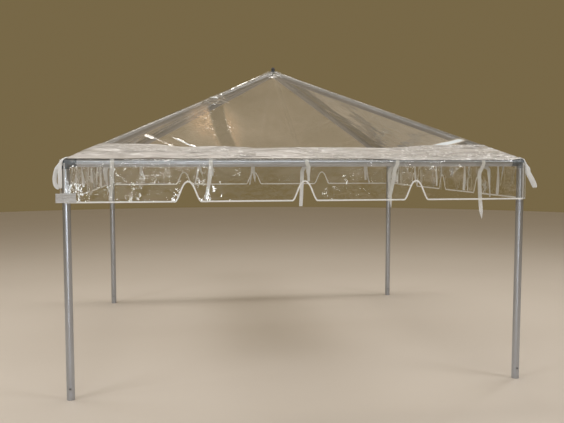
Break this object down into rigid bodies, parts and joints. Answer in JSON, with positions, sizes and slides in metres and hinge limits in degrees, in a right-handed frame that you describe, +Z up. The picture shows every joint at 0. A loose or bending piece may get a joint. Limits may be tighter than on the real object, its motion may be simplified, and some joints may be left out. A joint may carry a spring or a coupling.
{
  "type": "frame tent with clear vinyl canopy",
  "caption": "Square hipped frame tent: aluminium tube legs, eave beams and hip rafters on spigot fittings, clear vinyl roof and notched clear valances.",
  "frame": {"origin": "floor level under the crown, at the middle of the square plan", "axes": "+Z up, -Y towards the front side, +X to the right seen from the front"},
  "size_m": [3.1514, 3.1514, 2.3006],
  "materials": {
    "tube": "drawn aluminium tube, dull bright",
    "fitting": "cast aluminium, rougher and darker",
    "cap": "dark moulded cap",
    "clear_vinyl": "clear glossy vinyl film with creases",
    "white_film": "white glossy coated film, wrinkled",
    "binding": "white woven binding tape",
    "webbing": "white woven webbing"
  },
  "bodies": {
    "root": {"leg_front_left": "tube", "leg_front_right": "tube", "leg_rear_right": "tube", "leg_rear_left": "tube", "corner_fitting_front_left": "fitting", "corner_fitting_front_right": "fitting", "corner_fitting_rear_right": "fitting", "corner_fitting_rear_left": "fitting", "eave_beam_front": "tube", "eave_beam_right": "tube", "eave_beam_rear": "tube", "eave_beam_left": "tube", "hip_rafter_front_left": "tube", "hip_rafter_front_right": "tube", "hip_rafter_rear_right": "tube", "hip_rafter_rear_left": "tube", "crown_fitting": "fitting", "peak_cap": "cap", "roof_panel_front": "clear_vinyl", "roof_panel_right": "clear_vinyl", "roof_panel_rear": "clear_vinyl", "roof_panel_left": "clear_vinyl", "eave_band_front": "white_film", "eave_band_right": "white_film", "eave_band_rear": "white_film", "eave_band_left": "white_film", "valance_front": "clear_vinyl", "valance_right": "clear_vinyl", "valance_rear": "clear_vinyl", "valance_left": "clear_vinyl", "valance_binding_front": "binding", "valance_binding_right": "binding", "valance_binding_rear": "binding", "valance_binding_left": "binding", "eave_ties_front": "webbing", "eave_ties_right": "webbing", "eave_ties_rear": "webbing", "eave_ties_left": "webbing", "corner_loop_front_left": "webbing", "corner_loop_front_right": "webbing", "corner_loop_rear_right": "webbing", "corner_loop_rear_left": "webbing"}
  },
  "joints": []
}
